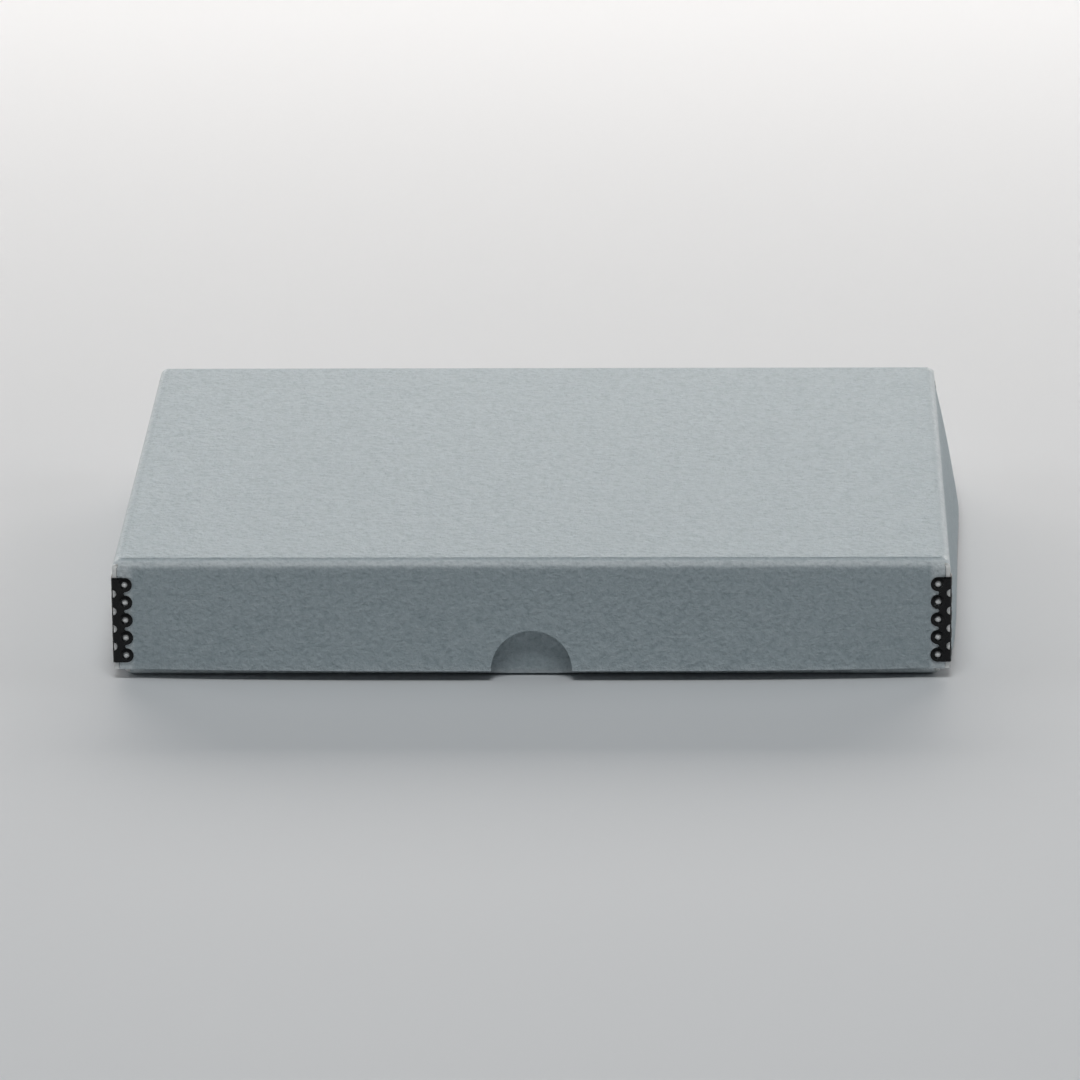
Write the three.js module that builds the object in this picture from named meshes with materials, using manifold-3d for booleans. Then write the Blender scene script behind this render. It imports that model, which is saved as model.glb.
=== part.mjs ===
// Archival storage box: a shallow tray, and a full-depth lid that slips down over it. Each is folded
// up from one blank of grey board, and its four corners are held by punched, black-enamelled metal
// edges. Millimetres, +Z up. The origin is the middle of the tray's underside. The front, where the
// lid has its thumb notch, faces -Y.

import * as THREE from "three";
import { mergeVertices } from "three/addons/utils/BufferGeometryUtils.js";
import Module from "manifold-3d";

const wasm = await Module();
wasm.setup();

// Driving dimensions of the box.
const INSIDE = { width: 266.7, depth: 215.9, height: 38.1 }; // 10 1/2 x 8 1/2 x 1 1/2 inches
const BOARD = 1.5; // 60-point board
const SLIP = 1.5; // room between the tray's walls and the lid's, on each side
const LID_SEAT = 0.1; // air between the tray's rim and the lid's panel
const RIM_ABOVE_TABLE = 3.6; // the lid's walls stop short of the table
const CREASE_RADIUS = 3; // outside radius of a scored fold
const CORNER_CUT = BOARD + 0.3; // each wall is cut this far short of its corner
const NOTCH_RADIUS = 13.4; // half-round thumb cut in the lid's front rim

// How the free rims of the lid bulge out: how far at the middle of a wall, how flat the bulge is
// along the wall, and the share by which it grows towards the back of the box.
const LID_BOW = {
  long: { reach: 3, flatness: 3, rearward: 0 },
  short: { reach: 5.3, flatness: 5, rearward: 0.9 },
};
const NO_BOW = { reach: 0, flatness: 1, rearward: 0 };
const TRAY_BOW = { long: NO_BOW, short: NO_BOW };

// Driving dimensions of the metal edge, a strip bent to a right angle along its middle.
const STEEL = 0.35;
const BEND_RADIUS = 0.5; // inside the bend
const STRIP_GAP = 0.05; // enamel and glue-free air between strip and board
const RINGS = 5; // punched rings on each leg
const RING_PITCH = 6.1;
const RING_RADIUS = 2.45;
const RING_HOLE_RADIUS = 0.95;
const RING_FROM_CORNER = 4.05; // a ring's centre, from the board's corner
const BEND_HOLE = { halfHeight: 1.3, halfWidth: 1.1 }; // oval windows on the bend, between the rings
const LID_STRIP_ABOVE_RIM = 2.4;
const TRAY_STRIP_ABOVE_BASE = 5.9;

// Worked out from those.
const STRIP_LENGTH = (RINGS - 1) * RING_PITCH + 2 * RING_RADIUS;
const LEG = RING_FROM_CORNER + RING_RADIUS; // width of one leg of the strip
const CLASPED = LEG + 1.5; // length of wall held straight at each end
const TRAY = {
  width: INSIDE.width + 2 * BOARD,
  depth: INSIDE.depth + 2 * BOARD,
  height: INSIDE.height + BOARD,
};
const LID_TOP = TRAY.height + LID_SEAT + BOARD;
const LID = {
  width: TRAY.width + 2 * (SLIP + BOARD),
  depth: TRAY.depth + 2 * (SLIP + BOARD),
  height: LID_TOP - RIM_ABOVE_TABLE,
};

// Mesh resolution.
const BOWED_STEPS = 12; // along a wall that bows
const CREASE_SEGMENTS = 4;
const BEND_SEGMENTS = 2;
const RING_SEGMENTS = 5; // round the free half of a ring
const HOLE_SEGMENTS = 6;
const NOTCH_SEGMENTS = 36;

const boardGrey = new THREE.MeshStandardMaterial({ color: 0x737c81, roughness: 0.75, metalness: 0 });
const blackEnamel = new THREE.MeshStandardMaterial({ color: 0x0d0d0f, roughness: 0.35, metalness: 0.4 });

function solidOf(geometry) {
  const bare = geometry.clone().deleteAttribute("normal").deleteAttribute("uv");
  const merged = mergeVertices(bare, 1e-4);
  return new wasm.Manifold(
    new wasm.Mesh({
      numProp: 3,
      vertProperties: merged.attributes.position.array,
      triVerts: new Uint32Array(merged.index.array),
    }),
  );
}

function geometryOf(solid) {
  const mesh = solid.getMesh();
  const geometry = new THREE.BufferGeometry();
  geometry.setAttribute("position", new THREE.BufferAttribute(mesh.vertProperties, 3));
  geometry.setIndex(new THREE.BufferAttribute(mesh.triVerts, 1));
  geometry.computeVertexNormals();
  return geometry;
}

// Places along a wall where its shape is worked out. A metal edge clasps each end and keeps it
// straight, so only the span between them bows. The places lie closer together towards the clasps,
// where the wall curves most.
function wallStations(length, bow) {
  if (bow.reach === 0) return [0, length];
  const freeSpan = length - 2 * CLASPED;
  const stations = [0];
  for (let i = 0; i <= BOWED_STEPS; i++) {
    const share = (1 - Math.cos((Math.PI * i) / BOWED_STEPS)) / 2;
    stations.push(CLASPED + freeSpan * share);
  }
  stations.push(length);
  return stations;
}

// How far a rim bulges out at one place along it. s runs from -1 to 1 over the free span.
function bulge(along, length, bow) {
  const s = (2 * along - length) / (length - 2 * CLASPED);
  const share = Math.max(0, 1 - Math.pow(Math.abs(s), bow.flatness));
  return bow.reach * share * (1 + bow.rearward * s);
}

// One wall with its scored fold and a lip of the panel, standing at the front with its outer face
// on y = 0. Its rim bows out towards -Y. The places along it run from its right end to its left.
function wallGeometry(length, height, bow) {
  const lip = 1;
  const profile = new THREE.Shape();
  profile.moveTo(-CREASE_RADIUS - lip, 0);
  profile.lineTo(-CREASE_RADIUS, 0);
  profile.absarc(-CREASE_RADIUS, CREASE_RADIUS, CREASE_RADIUS, -Math.PI / 2, 0, false);
  profile.lineTo(0, height);
  profile.lineTo(-BOARD, height);
  profile.absarc(-CREASE_RADIUS, CREASE_RADIUS, CREASE_RADIUS - BOARD, 0, -Math.PI / 2, true);
  profile.lineTo(-CREASE_RADIUS - lip, BOARD);

  const stations = wallStations(length, bow);
  const geometry = new THREE.ExtrudeGeometry(profile, {
    depth: stations.length - 1,
    steps: stations.length - 1,
    bevelEnabled: false,
    curveSegments: CREASE_SEGMENTS,
  });
  const position = geometry.attributes.position;
  for (let i = 0; i < position.count; i++) {
    const along = stations[Math.round(position.getZ(i))];
    const lean = Math.max(0, position.getY(i) - CREASE_RADIUS) / (height - CREASE_RADIUS);
    position.setX(i, position.getX(i) + lean * bulge(along, length, bow));
    position.setZ(i, along);
  }
  const outward = new THREE.Vector3(0, -1, 0);
  const up = new THREE.Vector3(0, 0, 1);
  const alongWall = new THREE.Vector3(-1, 0, 0);
  geometry.applyMatrix4(new THREE.Matrix4().makeBasis(outward, up, alongWall));
  return geometry.translate(length / 2, 0, 0);
}

// A blank folded up into an open box: panel underneath, four walls standing. The walls stop just
// short of each other, so every corner keeps a square groove that shows the board's cut ends.
function foldedBoard({ width, depth, height }, bow) {
  const panel = new THREE.BoxGeometry(width - 2 * CREASE_RADIUS, depth - 2 * CREASE_RADIUS, BOARD);
  let solid = solidOf(panel.translate(0, 0, BOARD / 2));
  for (let side = 0; side < 4; side++) {
    const isLong = side % 2 === 0;
    const length = (isLong ? width : depth) - 2 * CORNER_CUT;
    const reach = (isLong ? depth : width) / 2;
    const endsAtFront = side === 1;
    const wallBow = isLong ? bow.long : bow.short;
    const rearward = wallBow.rearward * (endsAtFront ? -1 : 1);
    const wall = wallGeometry(length, height, { ...wallBow, rearward });
    wall.translate(0, -reach, 0).rotateZ((side * Math.PI) / 2);
    solid = solid.add(solidOf(wall));
  }
  return solid;
}

function cutThumbNotch(solid, { depth, height }) {
  const punch = new THREE.CylinderGeometry(NOTCH_RADIUS, NOTCH_RADIUS, 30, NOTCH_SEGMENTS);
  return solid.subtract(solidOf(punch.translate(0, -depth / 2, height)));
}

// Outline of one leg, running on past the bend: a straight band whose free side is a row of
// half-rings. x is the distance from the corner and y runs along the strip.
function legOutline() {
  const past = 5;
  const outline = new THREE.Shape();
  outline.moveTo(-past, 0);
  outline.lineTo(RING_FROM_CORNER, 0);
  for (let ring = 0; ring < RINGS; ring++) {
    const centre = RING_RADIUS + ring * RING_PITCH;
    outline.absarc(RING_FROM_CORNER, centre, RING_RADIUS, -Math.PI / 2, Math.PI / 2, false);
  }
  outline.lineTo(-past, STRIP_LENGTH);
  return outline;
}

// The metal edge for the front left corner, with the board's corner on the Z axis: one leg lies
// along +X on the front wall, the other along +Y on the left wall.
function metalEdge() {
  const turn = BEND_RADIUS + STEEL;
  const angle = new THREE.Shape();
  angle.moveTo(LEG + 1, -STEEL);
  angle.lineTo(BEND_RADIUS, -STEEL);
  angle.absarc(BEND_RADIUS, BEND_RADIUS, turn, -Math.PI / 2, -Math.PI, true);
  angle.lineTo(-STEEL, LEG + 1);
  angle.lineTo(0, LEG + 1);
  angle.absarc(BEND_RADIUS, BEND_RADIUS, BEND_RADIUS, Math.PI, Math.PI * 1.5, false);
  angle.lineTo(LEG + 1, 0);
  const bar = new THREE.ExtrudeGeometry(angle, {
    depth: STRIP_LENGTH,
    bevelEnabled: false,
    curveSegments: BEND_SEGMENTS,
  });

  const reach = 20; // long enough to pass right through the bar
  const frontCutter = new THREE.ExtrudeGeometry(legOutline(), {
    depth: reach,
    bevelEnabled: false,
    curveSegments: RING_SEGMENTS,
  });
  frontCutter.rotateX(Math.PI / 2).translate(0, reach - 5, 0);
  const sideCutter = frontCutter.clone().scale(-1, 1, 1).rotateZ(-Math.PI / 2);
  const flipped = sideCutter.attributes.position;
  for (let i = 0; i < flipped.count; i += 3) {
    const [x, y, z] = [flipped.getX(i), flipped.getY(i), flipped.getZ(i)];
    flipped.setXYZ(i, flipped.getX(i + 1), flipped.getY(i + 1), flipped.getZ(i + 1));
    flipped.setXYZ(i + 1, x, y, z);
  }
  let strip = solidOf(bar).intersect(solidOf(frontCutter)).intersect(solidOf(sideCutter));

  for (let ring = 0; ring < RINGS; ring++) {
    const height = RING_RADIUS + ring * RING_PITCH;
    const punch = new THREE.CylinderGeometry(RING_HOLE_RADIUS, RING_HOLE_RADIUS, 4, HOLE_SEGMENTS);
    const sidePunch = punch.clone().rotateZ(Math.PI / 2);
    strip = strip.subtract(solidOf(punch.translate(RING_FROM_CORNER, 0, height)));
    strip = strip.subtract(solidOf(sidePunch.translate(0, RING_FROM_CORNER, height)));
  }
  for (let gap = 0; gap < RINGS - 1; gap++) {
    const height = RING_RADIUS + (gap + 0.5) * RING_PITCH;
    const punch = new THREE.CylinderGeometry(1, 1, 8, HOLE_SEGMENTS);
    punch.scale(BEND_HOLE.halfWidth, 1, BEND_HOLE.halfHeight).rotateZ(-Math.PI / 4);
    strip = strip.subtract(solidOf(punch.translate(0, 0, height)));
  }
  return geometryOf(strip);
}

// Four metal edges at the corners of a folded board, each its own mesh.
function addMetalEdges(group, prefix, { width, depth }, bottom, geometry) {
  const corners = ["front_left", "front_right", "back_right", "back_left"];
  corners.forEach((corner, quarter) => {
    const left = quarter === 0 || quarter === 3;
    const front = quarter < 2;
    const edge = new THREE.Mesh(geometry, blackEnamel);
    edge.name = `${prefix}_metal_edge_${corner}`;
    edge.position.x = (left ? -1 : 1) * (width / 2 + STRIP_GAP);
    edge.position.y = (front ? -1 : 1) * (depth / 2 + STRIP_GAP);
    edge.position.z = bottom;
    edge.rotation.z = (quarter * Math.PI) / 2;
    group.add(edge);
  });
}

function makeTray(stripGeometry) {
  const tray = new THREE.Group();
  const board = new THREE.Mesh(geometryOf(foldedBoard(TRAY, TRAY_BOW)), boardGrey);
  board.name = "tray_board";
  tray.add(board);
  addMetalEdges(tray, "tray", TRAY, TRAY_STRIP_ABOVE_BASE, stripGeometry);
  return tray;
}

// The lid is folded like the tray and then turned over, so its panel ends up on top.
function makeLid(stripGeometry) {
  const lid = new THREE.Group();
  const folded = geometryOf(cutThumbNotch(foldedBoard(LID, LID_BOW), LID));
  const board = new THREE.Mesh(folded.rotateY(Math.PI), boardGrey);
  board.position.z = LID_TOP;
  board.name = "lid_board";
  lid.add(board);
  addMetalEdges(lid, "lid", LID, RIM_ABOVE_TABLE + LID_STRIP_ABOVE_RIM, stripGeometry);
  return lid;
}

const stripGeometry = metalEdge();
const box = new THREE.Group();
box.add(makeTray(stripGeometry));
box.add(makeLid(stripGeometry));

export default box;
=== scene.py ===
"""The looks of the archival box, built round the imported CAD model.

The two folded boards and the eight metal edges are made again here with their real surfaces, and each
stands in for its CAD node. Shapes are worked out in millimetres and become metres in new_mesh().
"""

import math
from dataclasses import dataclass
from itertools import product

import bpy
import numpy as np
from mathutils import Matrix, Vector


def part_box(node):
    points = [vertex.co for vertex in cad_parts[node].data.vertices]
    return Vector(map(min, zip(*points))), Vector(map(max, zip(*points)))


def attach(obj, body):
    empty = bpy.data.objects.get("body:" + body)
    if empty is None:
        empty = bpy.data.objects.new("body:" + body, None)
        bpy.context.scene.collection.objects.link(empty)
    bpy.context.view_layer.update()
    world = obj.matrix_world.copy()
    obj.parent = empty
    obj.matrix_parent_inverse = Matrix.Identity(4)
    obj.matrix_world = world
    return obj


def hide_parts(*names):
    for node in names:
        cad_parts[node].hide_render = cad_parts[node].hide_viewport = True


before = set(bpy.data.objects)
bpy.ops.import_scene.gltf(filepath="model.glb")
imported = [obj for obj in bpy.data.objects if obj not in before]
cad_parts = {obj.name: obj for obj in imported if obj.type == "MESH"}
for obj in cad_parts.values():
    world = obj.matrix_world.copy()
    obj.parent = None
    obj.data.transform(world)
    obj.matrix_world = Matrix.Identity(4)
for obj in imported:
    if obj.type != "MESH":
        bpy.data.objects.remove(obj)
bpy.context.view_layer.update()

MM = 0.001

# The board, as in the CAD model.
BOARD = 1.5
FOLD_RADIUS = 3.0  # outside of a fold
LONG_WALL_CUT = 1.65  # a front or back wall stops this far short of its corner
SHORT_WALL_CUT = 0.10  # a side wall reaches across, and its cut end shows from the front
NOTCH_RADIUS = 13.4
CLASPED = 8.0  # length of wall that a metal edge holds straight
EDGE_EASE = 0.13  # softening of a cut edge
CORNER_EASE = 0.5  # rounding of a side wall's end
PAPER_PLY = 0.13  # grey paper on each side of the white core
UNEVENNESS = 0.05  # share of the bulge that varies from place to place
DOME_UNEVENNESS = 0.6  # share of the panel's rise that varies from place to place
DOME_POINTEDNESS = 1.2  # power of the rise's fall towards the panel's edges
CLASP_FADE = (-2.0, 7.0)  # from where to where, inward from a clasp, the bulge comes in

# The marks along a fold, placed from where the fold starts, along its arc.
SCORE_DEPTH = 0.12
SCORE_PLACE = 0.15
SCORE_WIDTH = 0.26
FOLD_FLATTENING = 0.21  # depth that folding presses the start of a fold flat
LOWER_SCORE_DEPTH = 0.03  # a faint second line, just past the end of the fold
LOWER_SCORE_WIDTH = 0.3
SHORT_CREASE = 0.35  # how deep the creases of the short walls are, as a share of the long walls'
CREASE_BLEND = 1.0  # half of the width over which the two kinds of crease blend at a corner

# Where the outer face is rubbed pale, where it is crushed dark, and how much. Along each fold's crown the
# pale rub is also a painted highlight, and along the scored line the dark is also painted shade.
CROWN_PLACE = 2.9  # the outermost line of a fold, along its arc
CROWN_WIDTH = 1.3
# strength of the fold crown's rub, which is also a painted highlight
CROWN_RUB_AND_HIGHLIGHT = 0.95
RIM_WIDTH = 0.5
RIM_RUB = 0.25
WALL_END_REACH = 4.0  # over the panel from its corner, as far as the corner's wear can spread
WALL_END_WIDTH = 0.9
WALL_END_RUB = 0.8
# place and width of the crushed band, which is also painted shade along the scored line
CRUSH_SHADE_PLACE = 0.25
CRUSH_SHADE_WIDTH = 0.60

# The metal edge, as in the CAD model.
STEEL = 0.35
STRIP_GAP = 0.05
BEND_RADIUS = 0.5  # inside the bend
RINGS = 5
RING_PITCH = 6.1
RING_RADIUS = 2.45
RING_FROM_CORNER = 4.05
HOLE_RADIUS = 1.0

FOLD_ARC = FOLD_RADIUS * math.pi / 2
FLAT_OF_FOLD = 2.1  # the fold starts with a flat this long, along its arc
LONG_OVERHANG = FOLD_RADIUS - LONG_WALL_CUT  # a wall reaches this far past the start of the next fold
SHORT_OVERHANG = FOLD_RADIUS - SHORT_WALL_CUT
OUTER_BEND = BEND_RADIUS + STEEL
HALF_BEND_ARC = OUTER_BEND * math.pi / 4
STRIP_LENGTH = (RINGS - 1) * RING_PITCH + 2 * RING_RADIUS

PAPER, CORE = 0, 1  # the two surfaces of a board, as numbers of its materials
BOARD_SHARP_DEG = 32.0  # two faces of a board that meet at more than this show an edge


# ---------------------------------------------------------------- meshes


def new_mesh(name, points, faces, materials, sharp_deg, face_material=None):
    """An object from points in millimetres, smooth except where two faces meet at a sharp angle."""
    mesh = bpy.data.meshes.new(name)
    mesh.from_pydata([tuple(p) for p in np.asarray(points) * MM], [], faces)
    for material in materials:
        mesh.materials.append(material)
    if face_material is not None:
        mesh.polygons.foreach_set("material_index", np.asarray(face_material, np.int32))
    mesh.polygons.foreach_set("use_smooth", [True] * len(mesh.polygons))
    mesh.update()
    mesh.set_sharp_from_angle(angle=math.radians(sharp_deg))
    obj = bpy.data.objects.new(name, mesh)
    bpy.context.scene.collection.objects.link(obj)
    return obj


def add_point_values(obj, name, values):
    attribute = obj.data.attributes.new(name, "FLOAT", "POINT")
    attribute.data.foreach_set("value", np.asarray(values, np.float32))


def smoothstep(low, high, x):
    """0 below low and 1 above high, with a smooth change between them."""
    t = np.clip((x - low) / (high - low), 0.0, 1.0)
    return t * t * (3 - 2 * t)


def hump(x, centre, width):
    """1 at the centre, with a bell-shaped fall to 0 on both sides."""
    return np.exp(-(((x - centre) / width) ** 2))


RIPPLE_LENGTHS = (150.0, 95.0, 61.0, 38.0)  # of its waves: a shorter one is lower in proportion
RIPPLE_HEIGHT = 3.5  # about the most that the waves come to together


def ripple(p, q, seed):
    """A smooth, slow unevenness from -1 to 1 over a surface whose places are p and q, in mm."""
    rng = np.random.default_rng(seed)
    total = np.zeros(np.broadcast(p, q).shape)
    for length in RIPPLE_LENGTHS:
        for _ in range(3):
            direction, phase = rng.uniform(0, 2 * math.pi, 2)
            along = p * math.cos(direction) + q * math.sin(direction)
            total = total + length / RIPPLE_LENGTHS[0] * np.sin(2 * math.pi * along / length + phase)
    return total / RIPPLE_HEIGHT


# ---------------------------------------------------------------- folded boards


@dataclass
class Bow:
    """The way in which a free wall bulges out."""

    flatness: float  # power of the bulge's fall towards the wall's ends
    rearward: float  # share by which it grows towards the back
    curl: float  # power of its growth down the wall: over 1, the rim curls out


LONG_BOW = Bow(flatness=3, rearward=0.0, curl=2.2)
LEFT_BOW = Bow(flatness=3, rearward=0.0, curl=0.85)
RIGHT_BOW = Bow(flatness=8, rearward=0.62, curl=0.70)


@dataclass
class Box:
    """One folded blank, standing with its panel underneath: outside sizes in mm."""

    width: float
    depth: float
    height: float
    bow_long: float  # how far the rim's middle bulges out, on the long walls
    bow_short: float
    dome: float  # how far the panel's middle rises out of the box
    notch: bool
    seed: int

    @property
    def flat_x(self):
        return self.width / 2 - FOLD_RADIUS

    @property
    def flat_y(self):
        return self.depth / 2 - FOLD_RADIUS

    @property
    def flap(self):
        """Length of a wall, measured over its outside from where its fold starts."""
        return FOLD_ARC + self.height - FOLD_RADIUS


def corner_fade(s, overhang):
    """1 where the panel's corner bends both ways, falling to 0 where a wall comes out of its fold."""
    return 1 - smoothstep(overhang, FOLD_ARC, s)


def crease_relief(s):
    """Depth of the marks that scoring and folding leave across a fold that starts at s = 0."""
    chord = np.clip(s * (FLAT_OF_FOLD - s), 0, None) / (FLAT_OF_FOLD / 2) ** 2
    score = SCORE_DEPTH * hump(s, SCORE_PLACE, SCORE_WIDTH)
    lower_score = LOWER_SCORE_DEPTH * hump(s, FOLD_ARC + LOWER_SCORE_WIDTH, LOWER_SCORE_WIDTH)
    return FOLD_FLATTENING * chord + score + lower_score


def crease_share(over_x, over_y):
    """How deep the crease is at a place past the flat panel: 1 on a long wall, less on a short one."""
    return 1 + (SHORT_CREASE - 1) * smoothstep(-CREASE_BLEND, CREASE_BLEND, over_x - over_y)


def bulge(along, down, span, bow):
    """How far a wall bulges out at a place along and down it, as a share of that at its rim's middle."""
    free = span / 2 - CLASPED
    share = np.clip(1 - np.abs(along / free) ** bow.flatness, 0.0, 1.0)
    splay = 1 + bow.rearward * along / free
    return share * splay * smoothstep(*CLASP_FADE, free - np.abs(along)) * down**bow.curl


def past_panel(box, u, v):
    """How far a place on the blank lies past the flat panel: in x towards a side wall, and in y."""
    return np.abs(u) - box.flat_x, np.abs(v) - box.flat_y


def fold(box, u, v, w):
    """Places of the blank's points once it is folded: u and v lie on its outer face, w below it."""
    over_x, over_y = past_panel(box, u, v)
    keep_x = corner_fade(over_y, SHORT_OVERHANG)
    keep_y = corner_fade(over_x, LONG_OVERHANG)
    turn_x = np.clip(over_x / FOLD_ARC, 0, 1) * math.pi / 2 * keep_x
    turn_y = np.clip(over_y / FOLD_ARC, 0, 1) * math.pi / 2 * keep_y
    turn = np.hypot(turn_x, turn_y)

    face = 1 - smoothstep(0.0, BOARD, w)
    w = w + face * crease_share(over_x, over_y) * crease_relief(np.maximum(over_x, over_y))
    reach = (FOLD_RADIUS - w) * np.sinc(turn / math.pi)
    x = np.minimum(np.abs(u), box.flat_x) + reach * turn_x
    y = np.minimum(np.abs(v), box.flat_y) + reach * turn_y
    x = x + (1 - keep_x) * np.clip(over_x, 0, LONG_OVERHANG)
    y = y + (1 - keep_y) * np.clip(over_y, 0, SHORT_OVERHANG)
    z = FOLD_RADIUS - (FOLD_RADIUS - w) * np.cos(turn)
    z = z + np.maximum(over_x - FOLD_ARC, 0) + np.maximum(over_y - FOLD_ARC, 0)

    wave = ripple(u, v, box.seed)
    bow_x, bow_y = bowing(box, u, v, z)
    x = x + bow_x * (1 + UNEVENNESS * wave)
    y = y + bow_y * (1 + UNEVENNESS * wave)
    z = z - doming(box, u, v) * (1 + DOME_UNEVENNESS * wave)
    return np.stack([np.sign(u) * x, np.sign(v) * y, z], axis=-1)


def bowing(box, u, v, z):
    """How far the walls bulge out in x and y at places of the blank that the fold takes to height z."""
    over_x, over_y = past_panel(box, u, v)
    on_long = (over_y > 0) & (over_x <= over_y)
    on_short = (over_x > 0) & ~on_long
    down = np.clip((z - FOLD_RADIUS) / (box.height - FOLD_RADIUS), 0, 1)
    long_bulge = bulge(u, down, box.width, LONG_BOW)
    right_bulge = bulge(v, down, box.depth, RIGHT_BOW)
    left_bulge = bulge(v, down, box.depth, LEFT_BOW)
    short_bulge = np.where(u < 0, right_bulge, left_bulge)  # only the lid bows, and it is turned over
    bow_x = np.where(on_short, short_bulge * box.bow_short, 0)
    bow_y = np.where(on_long, long_bulge * box.bow_long, 0)
    return bow_x, bow_y


def doming(box, u, v):
    """How far the panel rises out of the box at places of the blank."""
    in_x = np.clip(1 - (u / box.flat_x) ** 2, 0, 1)
    in_y = np.clip(1 - (v / box.flat_y) ** 2, 0, 1)
    return box.dome * (in_x * in_y) ** DOME_POINTEDNESS


# Mesh lines along each wall: before and over its fold in mm from where the fold starts, close together
# at the scored line, and then up the straight wall as shares of it.
BEFORE_FOLD = [-16.0, -8.0, -4.0, -2.0, -1.0, -0.6, -0.35, -0.22, -0.14, -0.07, 0.0]
OVER_FOLD = [0.07, 0.14, 0.22, 0.35, 0.6, 0.95, 1.35, 1.75, 2.1, 2.5, 2.9, 3.25, 3.6, 3.95, 4.3, FOLD_ARC]
UP_WALL = [0.01, 0.02, 0.03, 0.045, 0.08] + [0.08 + 0.92 * k / 14 for k in range(1, 15)]
CLOSEST = 0.01  # no mesh line comes nearer than this to the line where two walls part
PANEL_CELLS_X = 56
PANEL_CELLS_Y = 46
NOTCH_STEPS = 44
NOTCH_MARGIN = 1.5  # width beside the notch without mesh lines of its own


def blank_lines(flat, gaps, overhang):
    """Mesh lines across the middle of the blank, from one wall end to the other, in order."""
    start = flat + BEFORE_FOLD[0]
    inner = np.linspace(-start, start, gaps + 1)[1:-1]
    side = [flat + s for s in BEFORE_FOLD + OVER_FOLD if s < overhang - CLOSEST] + [flat + overhang]
    return np.array([-s for s in reversed(side)] + list(inner) + side)


def wall_lines(flat, flap, overhang):
    """Mesh lines across a wall, from where it leaves its neighbour's fold to its rim."""
    over = [s for s in OVER_FOLD if s > overhang + CLOSEST]
    return np.array([flat + s for s in over + [FOLD_ARC + f * (flap - FOLD_ARC) for f in UP_WALL]])


def notch_lines(lines, ease):
    """The same lines, with those near the middle moved to where the notch's arc needs them."""
    radius = NOTCH_RADIUS + ease
    arc = -radius * np.cos(np.linspace(0, math.pi, NOTCH_STEPS + 1))
    kept = lines[np.abs(lines) > NOTCH_RADIUS + NOTCH_MARGIN]
    return np.concatenate([kept[kept < 0], arc, kept[kept > 0]])


def blank_grid(box, ease, corner_ease):
    """Blank coordinates of the whole mesh, with how many rows of cells each pair of walls has.

    ease draws the cut edges in, and corner_ease the side walls' ends, to soften them.
    """
    middle_u = blank_lines(box.flat_x, PANEL_CELLS_X, LONG_OVERHANG)
    middle_v = blank_lines(box.flat_y, PANEL_CELLS_Y, SHORT_OVERHANG)
    if box.notch:
        middle_u = notch_lines(middle_u, ease)
    middle_u[0] += ease
    middle_u[-1] -= ease
    middle_v[0] += corner_ease
    middle_v[-1] -= corner_ease
    wall_u = wall_lines(box.flat_x, box.flap - ease, LONG_OVERHANG)
    wall_v = wall_lines(box.flat_y, box.flap - ease, SHORT_OVERHANG)
    u = np.concatenate([-wall_u[::-1], middle_u, wall_u])
    v = np.concatenate([-wall_v[::-1], middle_v, wall_v])
    grid_u, grid_v = np.meshgrid(u, v, indexing="ij")

    if box.notch:
        radius = NOTCH_RADIUS + ease
        rise = np.sqrt(np.clip(radius**2 - u**2, 0, None))
        ends = np.minimum(box.flap - ease, box.flap - rise)
        for row, share in enumerate(reversed(UP_WALL)):
            grid_v[:, row] = -(box.flat_y + FOLD_ARC + share * (ends - FOLD_ARC))
    return grid_u, grid_v, len(wall_u), len(wall_v)


PLY_GROOVE = 0.03  # draw-in of the joints between the core's plies
PLY_JOINT = 0.35  # distance of those joints from the middle of the board
CUT_LEVELS = [  # through the board along its cut edges: depth below the outer face, and draw-in
    (0.0, EDGE_EASE),
    (PAPER_PLY, 0.0),
    (BOARD / 2 - PLY_JOINT, PLY_GROOVE),
    (BOARD / 2, 0.0),
    (BOARD / 2 + PLY_JOINT, PLY_GROOVE),
    (BOARD - PAPER_PLY, 0.0),
    (BOARD, EDGE_EASE),
]
INNER_FACE = len(CUT_LEVELS) - 1
BESIDE = [(0, -1), (1, 0), (0, 1), (-1, 0)]  # steps to a cell's neighbours, in the order of its sides


def corner_draw_in(depth):
    """Draw-in of a side wall's end, which is rounded over to its outer face."""
    left = max(CORNER_EASE - depth, 0.0)
    rounded = CORNER_EASE - math.sqrt(CORNER_EASE**2 - left**2)
    return rounded + (EDGE_EASE if depth == BOARD else 0.0)


class Shell:
    """The closed skin of a folded board, made from the places of its grid at every cut level."""

    def __init__(self, layers):
        self.layers = layers
        self.numbers = {}
        self.points = []
        self.faces = []
        self.kinds = []

    def number(self, level, place):
        """The number of the point at a place of the grid, which is new when a face first needs it."""
        key = (level, *place)
        if key not in self.numbers:
            self.numbers[key] = len(self.points)
            self.points.append(self.layers[level][place])
        return self.numbers[key]

    def add_paper(self, ring):
        """The outer and the inner face of one cell."""
        self.faces.append([self.number(0, place) for place in reversed(ring)])
        self.faces.append([self.number(INNER_FACE, place) for place in ring])
        self.kinds += [PAPER, PAPER]

    def add_cut(self, a, b, rubbed_through):
        """The cut edge between two places, from the outer face to the inner one."""
        for level in range(INNER_FACE):
            corners = [(level, a), (level, b), (level + 1, b), (level + 1, a)]
            self.faces.append([self.number(*corner) for corner in corners])
            in_core = 0 < level < INNER_FACE - 1
            self.kinds.append(CORE if rubbed_through or in_core else PAPER)


def panel_cells(count, rows):
    """Which cells across the grid lie between its two pairs of walls."""
    cells = np.zeros(count, bool)
    cells[rows : count - rows] = True
    return cells


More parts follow.
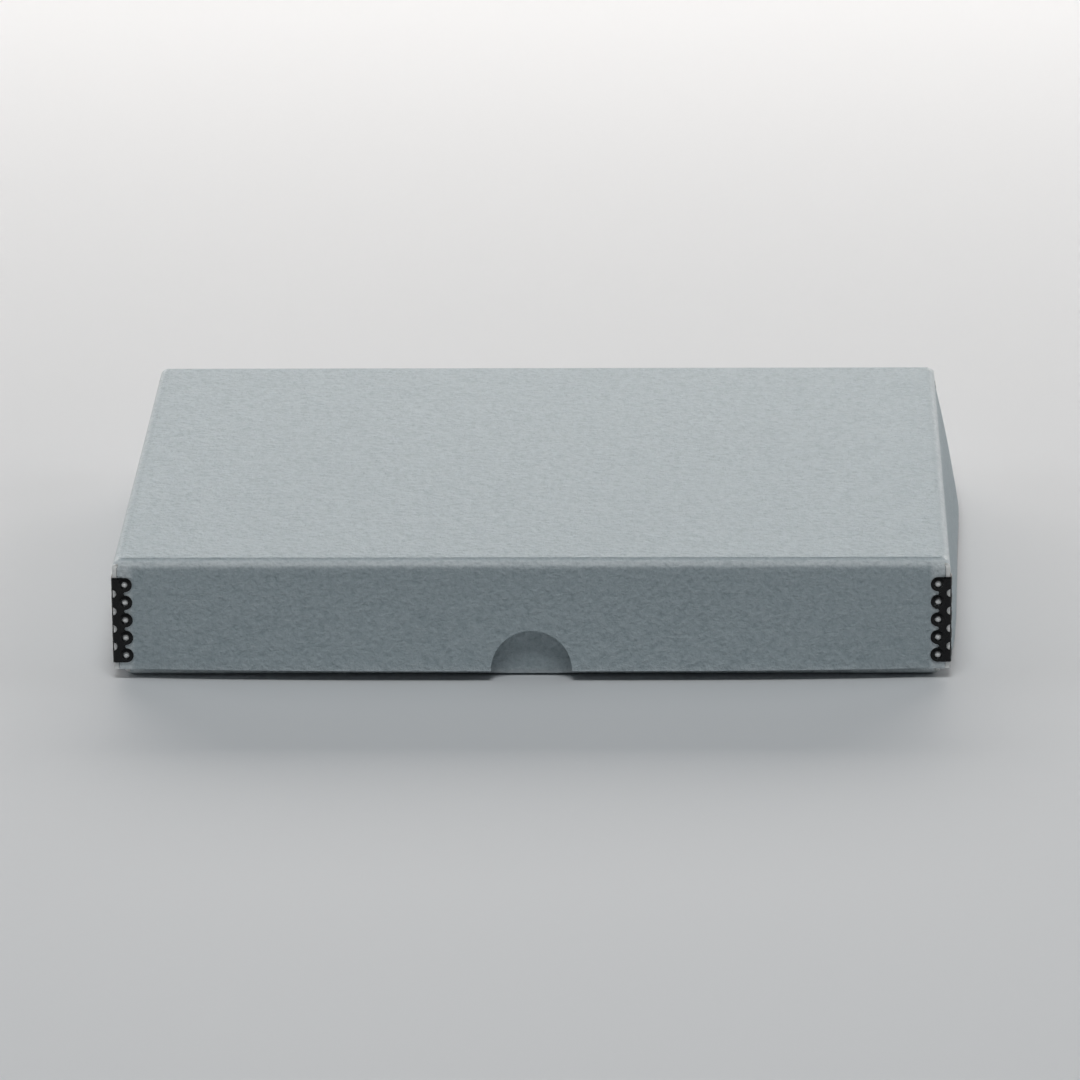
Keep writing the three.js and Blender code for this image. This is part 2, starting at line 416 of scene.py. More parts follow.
def folded_shell(box):
    """One folded board as a closed shell, with how rubbed and how crushed each of its points is: the rub is
    also a painted highlight on fold crowns, and the crush is also painted shade along scored lines.
    """
    layers = []
    for depth, ease in CUT_LEVELS:
        grid_u, grid_v, rows_u, rows_v = blank_grid(box, ease, corner_draw_in(depth))
        layers.append(fold(box, grid_u, grid_v, np.full(grid_u.shape, depth)))
    count_u, count_v = grid_u.shape
    panel_u = panel_cells(count_u - 1, rows_u)
    panel_v = panel_cells(count_v - 1, rows_v)
    filled = np.pad(panel_u[:, None] | panel_v[None, :], 1)

    shell = Shell(layers)
    for i, j in np.argwhere(filled[1:-1, 1:-1]):
        ring = [(i, j), (i + 1, j), (i + 1, j + 1), (i, j + 1)]
        shell.add_paper(ring)
        for side, (di, dj) in enumerate(BESIDE):
            if not filled[i + 1 + di, j + 1 + dj]:
                is_wall_end = dj != 0 and not panel_u[i]
                shell.add_cut(ring[side], ring[(side + 1) % 4], is_wall_end)
    return shell, *outer_marks(box, shell)


def outer_marks(box, shell):
    """How rubbed (with a painted highlight on fold crowns) and how crushed (with painted shade along scored
    lines) each point of a shell is: not at all on the inner face.
    """
    grid_u, grid_v, _, _ = blank_grid(box, 0.0, 0.0)
    wear_and_highlight = np.zeros(len(shell.points))
    crush_and_shade = np.zeros(len(shell.points))
    for (level, *place), index in shell.numbers.items():
        if level < INNER_FACE:
            u, v = grid_u[*place], grid_v[*place]
            wear_and_highlight[index] = surface_wear_and_highlight(box, u, v)
            crush_and_shade[index] = surface_crush_and_shade(box, u, v)
    return wear_and_highlight, crush_and_shade


def surface_wear_and_highlight(box, u, v):
    """How rubbed the outer face is at a place on the blank, from 0 to 1: folds, rims and wall ends. On a
    fold's crown it is also a painted highlight.
    """
    over_x, over_y = past_panel(box, u, v)
    s = max(over_x, over_y)
    crown = hump(s, CROWN_PLACE, CROWN_WIDTH)
    rim = math.exp(-(box.flap - s) / RIM_WIDTH)
    wall_end = 0.0
    if min(over_x, over_y) > -WALL_END_REACH:
        from_end = max(0.0, min(LONG_OVERHANG - over_x, SHORT_OVERHANG - over_y))
        wall_end = math.exp(-from_end / WALL_END_WIDTH)
    return min(1.0, CROWN_RUB_AND_HIGHLIGHT * crown + RIM_RUB * rim + WALL_END_RUB * wall_end)


def surface_crush_and_shade(box, u, v):
    """How crushed the outer face is by the scored line of a fold, from 0 to 1, with painted shade in that
    groove.
    """
    over_x, over_y = past_panel(box, u, v)
    s = max(over_x, over_y)
    return crease_share(over_x, over_y) * hump(s, CRUSH_SHADE_PLACE, CRUSH_SHADE_WIDTH)


PLUG_SIDES = 14
PLUG_LOOPS = [(1.06, -0.03), (0.93, 0.10), (0.70, 0.24), (0.38, 0.33)]  # radius and height
PLUG_TOP = 0.35
PLUG_FOOT = -0.2
PLUG_ROUGHNESS = 0.05


def fibre_plug(rng):
    """A little torn mound of core fibre, as shows in the hole of a ring: points and faces, z outward."""
    points, faces = [], []
    for radius, height in PLUG_LOOPS:
        for k in range(PLUG_SIDES):
            angle = 2 * math.pi * k / PLUG_SIDES
            rough = rng.uniform(-PLUG_ROUGHNESS, PLUG_ROUGHNESS) if radius < HOLE_RADIUS else 0.0
            reach = radius * (1 + rough)
            points.append((reach * math.cos(angle), reach * math.sin(angle), height + rough))
    top = len(points)
    foot = top + 1
    points += [(0.0, 0.0, PLUG_TOP), (0.0, 0.0, PLUG_FOOT)]
    innermost = (len(PLUG_LOOPS) - 1) * PLUG_SIDES
    for start in range(0, innermost, PLUG_SIDES):
        for k in range(PLUG_SIDES):
            a, b = start + k, start + (k + 1) % PLUG_SIDES
            faces.append([a, b, b + PLUG_SIDES, a + PLUG_SIDES])
    for k in range(PLUG_SIDES):
        following = (k + 1) % PLUG_SIDES
        faces.append([innermost + k, innermost + following, top])
        faces.append([following, k, foot])
    return np.array(points), faces


def ring_places():
    """A matrix in mm for each ring of one metal edge, from the board's corner, with Z out of the wall."""
    places = []
    for ring in range(RINGS):
        height = RING_RADIUS + ring * RING_PITCH
        front = Matrix.Translation((RING_FROM_CORNER, 0, height)) @ Matrix.Rotation(math.pi / 2, 4, "X")
        left = Matrix.Translation((0, RING_FROM_CORNER, height)) @ Matrix.Rotation(-math.pi / 2, 4, "Y")
        places += [front, left]
    return places


def corner_matrix(quarter, half_width, half_depth, bottom):
    """From the front left corner's own frame to one of the four corners, going round to the right."""
    x = -half_width if quarter in (0, 3) else half_width
    y = -half_depth if quarter < 2 else half_depth
    return Matrix.Translation((x, y, bottom)) @ Matrix.Rotation(quarter * math.pi / 2, 4, "Z")


def moved(points, matrix):
    """The points after a 4 x 4 matrix has turned and shifted them."""
    m = np.array(matrix)
    return np.asarray(points) @ m[:3, :3].T + m[:3, 3]


def board_piece(name, node, body, box, upright, strip_bottom, materials):
    """One folded board with the torn fibre behind its metal edges, in place of its CAD node."""
    shell, wear_and_highlight, crush_and_shade = folded_shell(box)
    all_points = [moved(shell.points, upright)]
    all_faces = list(shell.faces)
    all_kinds = list(shell.kinds)
    total = len(shell.points)
    rng = np.random.default_rng(box.seed)
    for quarter, place in product(range(4), ring_places()):
        corner = corner_matrix(quarter, box.width / 2, box.depth / 2, strip_bottom)
        plug_points, plug_faces = fibre_plug(rng)
        all_points.append(moved(plug_points, corner @ place))
        all_faces += [[total + k for k in face] for face in plug_faces]
        all_kinds += [CORE] * len(plug_faces)
        total += len(plug_points)
    places = np.concatenate(all_points)
    piece = new_mesh(name, places, all_faces, materials, BOARD_SHARP_DEG, all_kinds)
    on_plugs = np.zeros(total - len(shell.points))
    # rubbing at rims and wall ends, and a painted highlight along the fold crowns
    add_point_values(piece, "wear_and_highlight", np.concatenate([wear_and_highlight, on_plugs]))
    # crushed paper with painted shade along the scored lines
    add_point_values(piece, "crush_and_shade", np.concatenate([crush_and_shade, on_plugs]))
    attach(piece, body)
    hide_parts(node)


# ---------------------------------------------------------------- metal edges


# On the flat strip, "across" is measured from the line of the bend and "along" from the lower end.
RING_ACROSS = RING_FROM_CORNER - BEND_RADIUS + HALF_BEND_ARC  # a ring's centre
LEG_START = 1.9  # across, where the ring patches take over from the bend's
HALF_PITCH = RING_PITCH / 2

# The embossed ring: distance from its centre, and height above the strip's face.
RING_PROFILE = [
    (HOLE_RADIUS, -0.34),
    (1.04, -0.14),
    (1.11, 0.05),
    (1.22, 0.17),
    (1.4, 0.24),
    (1.62, 0.22),
    (1.86, 0.12),
    (2.1, 0.04),
    (2.3, 0.0),
    (2.6, 0.0),
]
RING_LOOPS = (HOLE_RADIUS, 1.03, 1.08, 1.16, 1.28, 1.42, 1.6, 1.8, 2.05, 2.3)  # its mesh lines
RING_CREST = 1.42
RING_CREST_WIDTH = 0.18
VALLEY = [(-0.40, HALF_PITCH), (-0.30, 2.86), (-0.14, 2.64)]  # between two rings, about the lower one
OUTLINE_STEPS = 6  # along the outline from the bend to the valley
ROUND_END_STEPS = 24

# The oval windows over the bend, and the lip pressed round them. The lip's places and widths are
# shares of the oval's size.
WINDOW_ACROSS = 1.4
WINDOW_ALONG = 1.35
WINDOW_SHARES = (0.0, 0.05, 0.14, 0.3, 0.6, 1.0)  # places of its mesh lines, from oval to border
BEND_CELLS = 12  # across the bend
PITCH_CELLS = 8  # along it, from one ring's centre to the next
END_CELLS = 3
LIP_LIMIT = 1.5
LIP_CREST, LIP_WIDTH, LIP_HEIGHT = 1.18, 0.12, 0.05
BRINK, BRINK_WIDTH, BRINK_DEPTH = 1.0, 0.05, 0.10
LIP_RUB_PLACE, LIP_RUB_WIDTH, LIP_RUB = 1.06, 0.06, 0.8


def ring_outline(ring):
    """The border of one ring's patch about its centre, anticlockwise from its upper corner by the bend."""
    first, final = ring == 0, ring == RINGS - 1
    below = -RING_RADIUS if first else -HALF_PITCH
    above = RING_RADIUS if final else HALF_PITCH
    left = LEG_START - RING_ACROSS
    steps_down = END_CELLS if first else PITCH_CELLS // 2
    steps_up = END_CELLS if final else PITCH_CELLS // 2
    side = [(left, above * (1 - k / steps_up)) for k in range(steps_up)]
    side += [(left, below * k / steps_down) for k in range(steps_down)]
    bottom_end = 0.0 if first else VALLEY[0][0]
    top_end = 0.0 if final else VALLEY[0][0]
    steps = range(OUTLINE_STEPS)
    bottom = [(left + (bottom_end - left) * k / OUTLINE_STEPS, below) for k in steps]
    top = [(top_end + (left - top_end) * k / OUTLINE_STEPS, above) for k in steps]
    if not first:
        bottom += [(x, -y) for x, y in VALLEY]
    if not final:
        top = list(reversed(VALLEY[1:])) + top
    turns = np.radians(np.linspace(-90, 90, ROUND_END_STEPS + 1))
    free = [(RING_RADIUS * math.cos(t), RING_RADIUS * math.sin(t)) for t in turns]
    if final:
        free = free[:-1]
    return side + bottom + free + top


def patch(loops):
    """Quads between closed loops of the same number of points, from the inside out."""
    count = len(loops[0])
    points = [p for loop in loops for p in loop]
    faces = []
    for loop in range(len(loops) - 1):
        for k in range(count):
            a, b = loop * count + k, loop * count + (k + 1) % count
            faces.append([a, a + count, b + count, b])
    return points, faces


def ring_patch(ring):
    """The strip round one ring's hole, out to the border of its patch."""
    centre = RING_RADIUS + ring * RING_PITCH
    outline = ring_outline(ring)
    angles = [math.atan2(y, x) for x, y in outline]
    loops = [[(radius * math.cos(a), radius * math.sin(a)) for a in angles] for radius in RING_LOOPS]
    loops.append(outline)
    return patch([[(RING_ACROSS + x, centre + y) for x, y in loop] for loop in loops])


def window_patch(gap):
    """The bend beside one oval window, from ring centre to ring centre."""
    centre = RING_RADIUS + (gap + 0.5) * RING_PITCH
    across = np.linspace(-LEG_START, LEG_START, BEND_CELLS + 1)
    along = np.linspace(-HALF_PITCH, HALF_PITCH, PITCH_CELLS + 1)
    border = [(across[0], y) for y in along[:0:-1]]
    border += [(x, along[0]) for x in across[:-1]]
    border += [(across[-1], y) for y in along[:-1]]
    border += [(x, along[-1]) for x in across[:0:-1]]
    oval = []
    for x, y in border:
        turn = math.atan2(y / WINDOW_ALONG, x / WINDOW_ACROSS)
        oval.append((WINDOW_ACROSS * math.cos(turn), WINDOW_ALONG * math.sin(turn)))
    loops = []
    for share in WINDOW_SHARES:
        loop = [(a + share * (x - a), centre + b + share * (y - b)) for (a, b), (x, y) in zip(oval, border)]
        loops.append(loop)
    return patch(loops)


def end_patch(low, high):
    """The plain bend between the last ring's centre and the end of the strip."""
    across = np.linspace(-LEG_START, LEG_START, BEND_CELLS + 1)
    along = np.linspace(low, high, END_CELLS + 1)
    points = [(x, y) for y in along for x in across]
    faces = []
    for row in range(END_CELLS):
        for k in range(BEND_CELLS):
            a = row * (BEND_CELLS + 1) + k
            b = a + BEND_CELLS + 1
            faces.append([a, a + 1, b + 1, b])
    return points, faces


def welded(patches):
    """All patches as one mesh, in which points that agree to a thousandth of a millimetre are one."""
    places, faces, known = [], [], {}
    for patch_points, patch_faces in patches:
        numbers = []
        for x, y in patch_points:
            key = (round(x, 3), round(y, 3))
            if key not in known:
                known[key] = len(places)
                places.append((x, y))
            numbers.append(known[key])
        faces += [[numbers[k] for k in face] for face in patch_faces]
    return np.array(places), faces


def flat_strip():
    """The whole strip laid flat: places across and along it, and its quads."""
    patches = [end_patch(0.0, RING_RADIUS), end_patch(STRIP_LENGTH - RING_RADIUS, STRIP_LENGTH)]
    patches += [window_patch(gap) for gap in range(RINGS - 1)]
    for ring in range(RINGS):
        points, faces = ring_patch(ring)
        patches.append((points, faces))
        mirrored = [(-x, y) for x, y in points]
        patches.append((mirrored, [list(reversed(face)) for face in faces]))
    return welded(patches)


def strip_relief(across, along):
    """Height above the strip's face, and how rubbed it is: embossed rings, and lips round the windows."""
    height = np.zeros(len(across))
    worn = np.zeros(len(across))
    ring_radii, ring_heights = zip(*RING_PROFILE)
    for ring in range(RINGS):
        centre = RING_RADIUS + ring * RING_PITCH
        r = np.hypot(np.abs(across) - RING_ACROSS, along - centre)
        height = np.where(r < ring_radii[-1], np.interp(r, ring_radii, ring_heights), height)
        worn = np.maximum(worn, hump(r, RING_CREST, RING_CREST_WIDTH))
    for gap in range(RINGS - 1):
        centre = RING_RADIUS + (gap + 0.5) * RING_PITCH
        r = np.hypot(across / WINDOW_ACROSS, (along - centre) / WINDOW_ALONG)
        lip = LIP_HEIGHT * hump(r, LIP_CREST, LIP_WIDTH) - BRINK_DEPTH * hump(r, BRINK, BRINK_WIDTH)
        height = height + np.where(r < LIP_LIMIT, lip, 0)
        worn = np.maximum(worn, LIP_RUB * hump(r, LIP_RUB_PLACE, LIP_RUB_WIDTH))
    return height, worn


BISECTOR = math.radians(225)  # direction of the corner's edge, from the middle of its bend


def bend_strip(across, along, height):
    """Folds the flat strip round the corner: the front leg runs along +X and the side leg along +Y."""
    past = np.abs(across) - HALF_BEND_ARC
    turn = np.clip(across / OUTER_BEND, -math.pi / 4, math.pi / 4) + BISECTOR
    reach = OUTER_BEND + height
    x = BEND_RADIUS + reach * np.cos(turn) + np.where(across > 0, np.maximum(past, 0), 0)
    y = BEND_RADIUS + reach * np.sin(turn) + np.where(across < 0, np.maximum(past, 0), 0)
    return np.stack([x, y, along], axis=-1)


# A prong, from the hole's rim through the board to its bent tip: distance from the hole's middle,
# height above the wall's outer face, and half of its spread in degrees.
PRONG = [
    (0.93, -0.1, 38),
    (0.9, -0.6, 34),
    (0.88, -1.2, 30),
    (0.92, -1.62, 27),
    (1.12, -1.86, 20),
    (1.5, -1.93, 12),
    (1.85, -1.84, 4),
]
PRONGS = 4  # round one hole
PRONG_POINTS = 4  # across one prong


def clinched_prongs():
    """The prongs of one ring, as sheets: z is outward, and the wall's outer face is z = 0."""
    points, faces = [], []
    for prong in range(PRONGS):
        middle = math.radians(360 * (prong + 0.5) / PRONGS)
        start = len(points)
        for radius, z, spread in PRONG:
            for share in np.linspace(-1, 1, PRONG_POINTS):
                angle = middle + math.radians(spread) * share
                points.append((radius * math.cos(angle), radius * math.sin(angle), z))
        for row, k in product(range(len(PRONG) - 1), range(PRONG_POINTS - 1)):
            a = start + row * PRONG_POINTS + k
            b = a + PRONG_POINTS
            faces.append([a, b, b + 1, a + 1])
    return np.array(points), faces


def strip_surface():
    """The bent and embossed strip with its prongs, about the board's corner: points, faces and wear."""
    flat, faces = flat_strip()
    height, worn = strip_relief(flat[:, 0], flat[:, 1])
    points = [bend_strip(flat[:, 0], flat[:, 1], height) - np.array([STRIP_GAP, STRIP_GAP, 0])]
    wear_and_highlight = [worn]
    total = len(flat)
    prongs, prong_faces = clinched_prongs()
    for place in ring_places():
        points.append(moved(prongs, place))
        faces += [[total + k for k in face] for face in prong_faces]
        wear_and_highlight.append(np.zeros(len(prongs)))
        total += len(prongs)
    return np.concatenate(points), faces, np.concatenate(wear_and_highlight)


SHEET = 0.30  # a little less than STEEL, so that the embossed sheet stays clear of the board
SHEET_EASE = 0.05  # softening of the sheet's edges
SHEET_SHARP_DEG = 50.0


def metal_edge_piece(name, node, body, place, surface, material):
    """One metal edge in place of its CAD node, made from the surface that all of them share."""
    points, faces, wear_and_highlight = surface
    piece = new_mesh(name, moved(points, place), faces, [material], SHEET_SHARP_DEG)
    add_point_values(piece, "wear_and_highlight", wear_and_highlight)
    thick = piece.modifiers.new("sheet thickness", "SOLIDIFY")
    thick.thickness = SHEET * MM
    thick.offset = -1.0
    thick.use_even_offset = False
    bevel = piece.modifiers.new("rolled edges", "BEVEL")
    bevel.width = SHEET_EASE * MM
    bevel.segments = 1
    bevel.limit_method = "ANGLE"
    bevel.angle_limit = math.radians(SHEET_SHARP_DEG)
    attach(piece, body)
    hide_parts(node)


# ---------------------------------------------------------------- materials


class Nodes:
    """A short way to wire a material's nodes."""

    def __init__(self, name):
        self.material = bpy.data.materials.new(name)
        self.material.use_nodes = True
        self.tree = self.material.node_tree
        self.shader = self.tree.nodes["Principled BSDF"]
        self.place = self.add("ShaderNodeTexCoord").outputs["Object"]

    def add(self, kind, inputs=(), **settings):
        node = self.tree.nodes.new(kind)
        for key, value in settings.items():
            setattr(node, key, value)
        for key, value in dict(inputs).items():
            if isinstance(value, bpy.types.NodeSocket):
                self.tree.links.new(value, node.inputs[key])
            else:
                node.inputs[key].default_value = value
        return node

    def stretched(self, scale, turn=(0.0, 0.0, 0.0)):
        node = self.add("ShaderNodeMapping", {"Vector": self.place, "Scale": scale, "Rotation": turn})
        return node.outputs["Vector"]

    def noise(self, scale, detail, rough, vector=None):
        inputs = {"Vector": vector or self.place, "Scale": scale, "Detail": detail, "Roughness": rough}
        return self.add("ShaderNodeTexNoise", inputs).outputs["Fac"]

    def remap(self, value, low, high, to_low=0.0, to_high=1.0):
        inputs = {"Value": value, "From Min": low, "From Max": high, "To Min": to_low, "To Max": to_high}
        return self.add("ShaderNodeMapRange", inputs).outputs["Result"]

    def math(self, operation, a, b):
        return self.add("ShaderNodeMath", {0: a, 1: b}, operation=operation).outputs[0]

    def mix(self, factor, a, b):
        """The colour a with b over it: each is a colour or the output of another node."""
        node = self.add("ShaderNodeMix", {"Factor": factor}, data_type="RGBA")
        for socket, value in zip((node.inputs[6], node.inputs[7]), (a, b)):
            if isinstance(value, bpy.types.NodeSocket):
                self.tree.links.new(value, socket)
            else:
                socket.default_value = (*value, 1.0)
        return node.outputs[2]

    def bump(self, height, distance, strength, normal=None):
        inputs = {"Height": height, "Distance": distance, "Strength": strength}
        if normal is not None:
            inputs["Normal"] = normal
        return self.add("ShaderNodeBump", inputs).outputs["Normal"]

    def point_value(self, name):
        return self.add("ShaderNodeAttribute", attribute_name=name).outputs["Fac"]

    def link(self, value, socket):
        self.tree.links.new(value, self.shader.inputs[socket])


BLOTCH_DARK = (0.306, 0.375, 0.404)
BLOTCH_LIGHT = (0.332, 0.401, 0.430)
CLOUD_GREY = (0.425, 0.494, 0.524)
MOTTLE_GREY = (0.520, 0.594, 0.624)
GRAIN_GREY = (0.292, 0.352, 0.380)
PALE_FIBRE = (0.640, 0.680, 0.695)
DARK_FIBRE = (0.205, 0.255, 0.285)
# pale rubbed paper, also a painted highlight along the folds' crowns
RUBBED_AND_HIGHLIGHT_PAPER = (0.735, 0.780, 0.797)
# dark crushed paper, also painted shade along the scored lines
CRUSHED_AND_SHADED_PAPER = (0.245, 0.300, 0.325)


def grey_paper():
    """Matt grey paper: cloudy and mottled, with fine grain, fibres both ways, rubbed creases with a painted
    highlight on their crowns, and painted shade along their scored lines.
    """
    n = Nodes("grey_paper_face")
    blotch = n.noise(14.0, 3.0, 0.6)
    cloud = n.noise(330.0, 2.0, 0.55)
    mottle = n.noise(640.0, 3.0, 0.6)
    grain = n.noise(2300.0, 3.0, 0.7)
    fibre_a = n.noise(1.0, 2.0, 0.5, n.stretched((260.0, 3600.0, 3600.0), (0.2, 0.1, 0.35)))
    fibre_b = n.noise(1.0, 2.0, 0.5, n.stretched((3400.0, 300.0, 3400.0), (0.3, 0.2, -0.45)))
    pale = n.remap(fibre_a, 0.62, 0.72)
    dark = n.remap(fibre_b, 0.62, 0.72)

    colour = n.mix(n.remap(blotch, 0.3, 0.7), BLOTCH_DARK, BLOTCH_LIGHT)
    colour = n.mix(n.remap(cloud, 0.30, 0.70), colour, CLOUD_GREY)
    colour = n.mix(n.remap(mottle, 0.30, 0.70, 0.0, 0.85), colour, MOTTLE_GREY)
    colour = n.mix(n.remap(grain, 0.3, 0.7, 0.0, 0.35), colour, GRAIN_GREY)
    colour = n.mix(n.math("MULTIPLY", pale, 0.40), colour, PALE_FIBRE)
    colour = n.mix(n.math("MULTIPLY", dark, 0.40), colour, DARK_FIBRE)
    # rubbed paper at rims and wall ends, and a painted highlight along the folds' crowns
    rub_and_highlight = n.math("MULTIPLY", n.point_value("wear_and_highlight"), n.remap(mottle, 0.30, 0.60, 0.55, 0.95))
    colour = n.mix(rub_and_highlight, colour, RUBBED_AND_HIGHLIGHT_PAPER)
    # crushed paper, and painted shade along the scored lines
    crush_and_shade_mask = n.math("MULTIPLY", n.point_value("crush_and_shade"), n.remap(cloud, 0.30, 0.70, 0.20, 0.60))
    colour = n.mix(crush_and_shade_mask, colour, CRUSHED_AND_SHADED_PAPER)
    n.link(colour, "Base Color")

    n.link(n.remap(mottle, 0.3, 0.7, 0.54, 0.68), "Roughness")
    soft = n.bump(n.math("ADD", mottle, n.math("MULTIPLY", cloud, 0.7)), 0.00100, 0.7)
    fine = n.bump(n.math("ADD", grain, n.math("MULTIPLY", pale, 0.4)), 0.00014, 0.6, soft)
    n.link(fine, "Normal")
    n.shader.inputs["Specular IOR Level"].default_value = 0.5
    return n.material


CORE_SHADE = (0.900, 0.897, 0.880)
CORE_LIGHT = (0.955, 0.952, 0.940)
CORE_FIBRE = (0.760, 0.755, 0.735)


def white_core():
    """The near-white inside of the board, as its cut edges show it."""
    n = Nodes("white_board_core")
    cloud = n.noise(900.0, 4.0, 0.6)
    fibre = n.noise(1.0, 3.0, 0.6, n.stretched((500.0, 2600.0, 2600.0)))
    colour = n.mix(n.remap(cloud, 0.3, 0.7), CORE_SHADE, CORE_LIGHT)
    colour = n.mix(n.remap(fibre, 0.55, 0.75, 0.0, 0.35), colour, CORE_FIBRE)
    n.link(colour, "Base Color")
    n.link(n.remap(cloud, 0.3, 0.7, 0.84, 0.95), "Roughness")
    n.link(n.bump(n.math("ADD", cloud, fibre), 0.00016, 0.7), "Normal")
    n.shader.inputs["Specular IOR Level"].default_value = 0.3
    return n.material


ENAMEL_DARK = (0.0030, 0.0030, 0.0035)
ENAMEL_LIGHT = (0.0065, 0.0065, 0.0072)
BARE_STEEL = (0.300, 0.300, 0.295)


def black_enamel():
    """Satin black enamel, chipped to the steel in specks on the crests that rub."""
    n = Nodes("black_enamel_on_steel")
    flow = n.noise(420.0, 2.0, 0.5)
    speck = n.noise(1900.0, 3.0, 0.65)
    chips = n.noise(1300.0, 4.0, 0.7)
    bare = n.math("MULTIPLY", n.point_value("wear_and_highlight"), n.remap(chips, 0.60, 0.66))
    colour = n.mix(n.remap(speck, 0.35, 0.7), ENAMEL_DARK, ENAMEL_LIGHT)
    colour = n.mix(bare, colour, BARE_STEEL)
    n.link(colour, "Base Color")
    n.link(n.math("MULTIPLY", bare, 0.85), "Metallic")
    n.link(n.remap(speck, 0.3, 0.7, 0.20, 0.36), "Roughness")
    n.shader.inputs["Specular IOR Level"].default_value = 0.28
    n.link(n.bump(n.math("ADD", flow, n.math("MULTIPLY", speck, 0.25)), 0.00006, 0.5), "Normal")
    return n.material


FLOOR_DARK = (0.625, 0.640, 0.655)
FLOOR_LIGHT = (0.652, 0.667, 0.682)


def floor_material():
    """Plain pale floor, with a hardly visible slow cloudiness."""
    n = Nodes("pale_floor")
    cloud = n.noise(1.3, 3.0, 0.5)
    colour = n.mix(n.remap(cloud, 0.3, 0.7), FLOOR_DARK, FLOOR_LIGHT)
    n.link(colour, "Base Color")
    n.link(n.remap(cloud, 0.3, 0.7, 0.62, 0.70), "Roughness")
    return n.material


# ---------------------------------------------------------------- stage


FLOOR_REACH = 14.0
FLOOR_MIDDLE = (0.0, 0.0, 0.0)
BOX_MIDDLE = (0.0, 0.0, 0.02)
WARM = (1.0, 0.945, 0.905)
COOL = (0.975, 0.995, 1.0)
WHITE = (1.0, 1.0, 1.0)
SKY = (0.80, 0.91, 1.0, 1.0)
SKY_STRENGTH = 0.06


def aimed(obj, place, target):
    """Puts a new object at a place, so that its -Z looks at the target."""
    obj.location = place
    obj.rotation_euler = (Vector(target) - Vector(place)).to_track_quat("-Z", "Y").to_euler()
    bpy.context.scene.collection.objects.link(obj)
    return obj


def softbox(name, place, target, size, watts, colour):
    """A rectangular light: size is its width and height in metres."""
    light = bpy.data.lights.new(name, "AREA")
    light.shape = "RECTANGLE"
    light.size, light.size_y = size
    light.energy = watts
    light.color = colour
    aimed(bpy.data.objects.new(name, light), place, target)


def make_floor():
    """A plain square floor, far wider than the view."""
    floor_mesh = bpy.data.meshes.new("floor")
    around = [(-1, -1), (1, -1), (1, 1), (-1, 1)]
    corners = [(x * FLOOR_REACH, y * FLOOR_REACH, 0) for x, y in around]
    floor_mesh.from_pydata(corners, [], [(0, 1, 2, 3)])
    floor_mesh.materials.append(floor_material())
    floor = bpy.data.objects.new("floor", floor_mesh)
    bpy.context.scene.collection.objects.link(floor)


def make_lights():
    """A warm light from behind along the top, a cool one over the front, and a weak one on each side."""
    softbox("back_softbox", (0.0, 1.30, 0.58), BOX_MIDDLE, (2.2, 0.5), watts=18.2, colour=WARM)
    softbox("front_softbox", (0.0, -0.95, 2.20), FLOOR_MIDDLE, (0.9, 0.5), watts=20.5, colour=COOL)
    softbox("left_softbox", (-1.5, 0.1, 0.9), BOX_MIDDLE, (0.9, 1.0), watts=5.0, colour=WHITE)
    softbox("right_softbox", (1.5, 0.1, 0.9), BOX_MIDDLE, (0.9, 1.0), watts=5.0, colour=WHITE)

    world = bpy.data.worlds.new("studio")
    world.use_nodes = True
    background = world.node_tree.nodes["Background"]
    background.inputs["Color"].default_value = SKY
    background.inputs["Strength"].default_value = SKY_STRENGTH
    bpy.context.scene.world = world
    bpy.context.scene.view_settings.view_transform = "Standard"


CAMERA_PLACE = (0.070, -2.473, 0.808)
CAMERA_TARGET = (0.0, 0.0, 0.012)
CAMERA_ROLL_DEG = -0.57
SENSOR_WIDTH_MM = 36.0
FOCAL_LENGTH_MM = 252.0


def make_camera():
    """A viewpoint a little to the right of the box and 18 degrees above it."""
    data = bpy.data.cameras.new("camera")
    data.sensor_width = SENSOR_WIDTH_MM
    data.lens = FOCAL_LENGTH_MM
    camera = aimed(bpy.data.objects.new("camera", data), CAMERA_PLACE, CAMERA_TARGET)
    camera.rotation_euler.rotate_axis("Z", math.radians(CAMERA_ROLL_DEG))
    bpy.context.scene.camera = camera


# ---------------------------------------------------------------- the box


CORNERS = ["front_left", "front_right", "back_right", "back_left"]
STRIP_OUTSIDE = STEEL + STRIP_GAP  # how far a metal edge's face stands outside its board
RIM_SAMPLES = 400  # places at which a side wall's bulge is measured


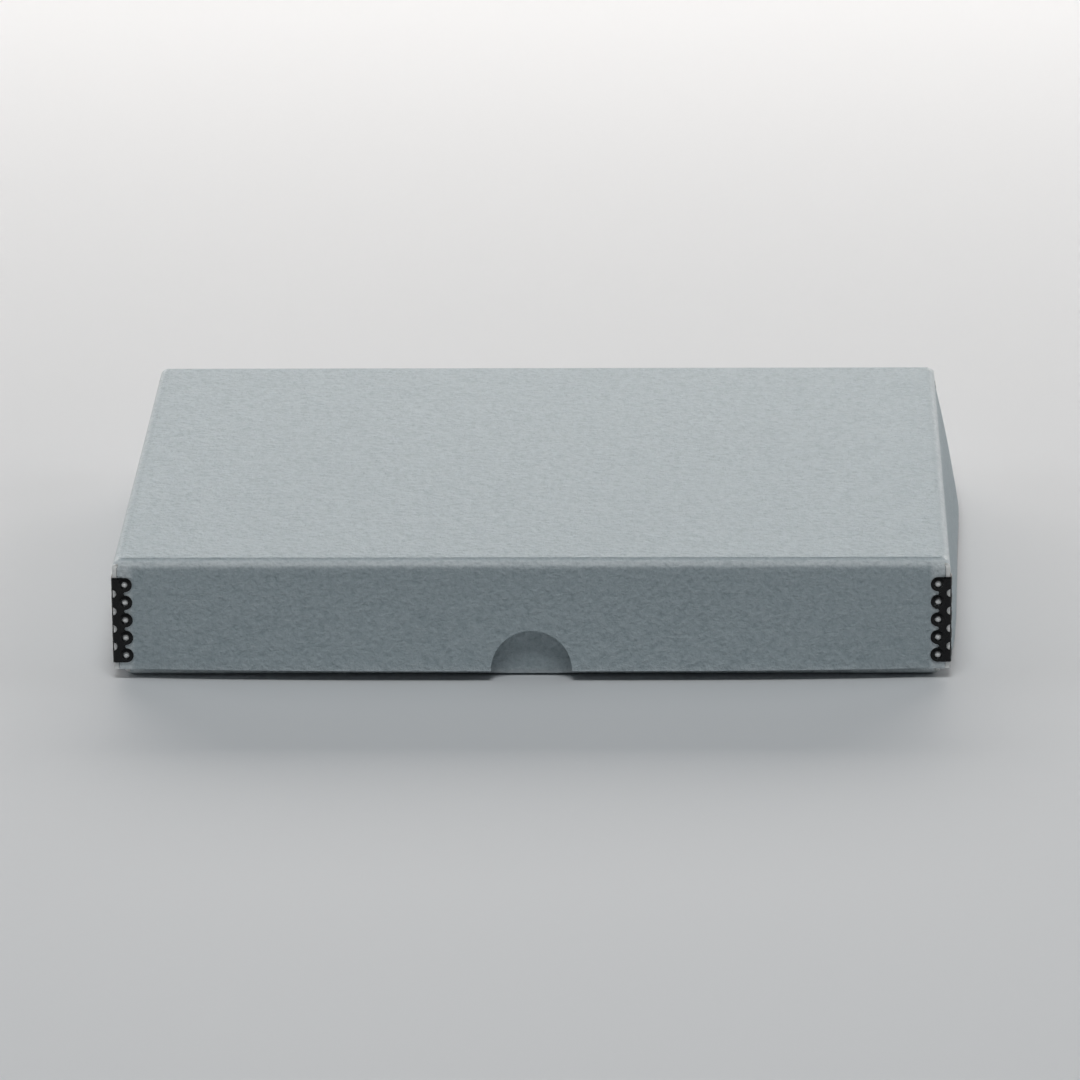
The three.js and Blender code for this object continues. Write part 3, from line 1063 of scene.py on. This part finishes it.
def strip_place(node, quarter):
    """Where the metal edge of a CAD node goes: its board's corner, at the height of its lower end."""
    low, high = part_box(node)
    x = (low.x if quarter in (0, 3) else high.x) / MM
    y = (low.y if quarter < 2 else high.y) / MM
    return corner_matrix(quarter, abs(x) - STRIP_OUTSIDE, abs(y) - STRIP_OUTSIDE, low.z / MM)


def make_metal_edges(enamel):
    """The four metal edges of the tray and the four of the lid."""
    surface = strip_surface()
    for body in ("tray", "lid"):
        for quarter, corner in enumerate(CORNERS):
            node = f"{body}_metal_edge_{corner}"
            place = strip_place(node, quarter)
            metal_edge_piece(f"{body}_edge_strip_{corner}", node, body, place, surface, enamel)


def make_tray_board(materials):
    """The tray's board, with straight walls and a floor whose middle lies a little off the ground."""
    low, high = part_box("tray_board")
    size = (high - low) / MM
    tray = Box(
        width=size.x,
        depth=size.y,
        height=size.z,
        bow_long=0.0,
        bow_short=0.0,
        dome=-0.25,
        notch=False,
        seed=11,
    )
    strip_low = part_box("tray_metal_edge_front_left")[0].z / MM
    board_piece("tray_folded_board", "tray_board", "tray", tray, Matrix(), strip_low, materials)


def make_lid_board(materials):
    """The lid's board, turned over, with its rims bowed out as far as the CAD lid's."""
    low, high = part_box("lid_board")
    edge_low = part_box("lid_metal_edge_front_left")[0] / MM
    half_width = -edge_low.x - STRIP_OUTSIDE
    half_depth = -edge_low.y - STRIP_OUTSIDE
    along_rim = np.linspace(-half_depth, half_depth, RIM_SAMPLES)
    most = bulge(along_rim, 1.0, 2 * half_depth, RIGHT_BOW).max()
    lid = Box(
        width=2 * half_width,
        depth=2 * half_depth,
        height=(high.z - low.z) / MM,
        bow_long=high.y / MM - half_depth,
        bow_short=(high.x / MM - half_width) / most,
        dome=0.35,
        notch=True,
        seed=23,
    )
    turned = Matrix.Translation((0, 0, high.z / MM)) @ Matrix.Rotation(math.pi, 4, "Y")
    board_piece("lid_folded_board", "lid_board", "lid", lid, turned, edge_low.z, materials)


make_camera()
make_floor()
make_lights()
board_materials = [grey_paper(), white_core()]
make_metal_edges(black_enamel())
make_tray_board(board_materials)
make_lid_board(board_materials)
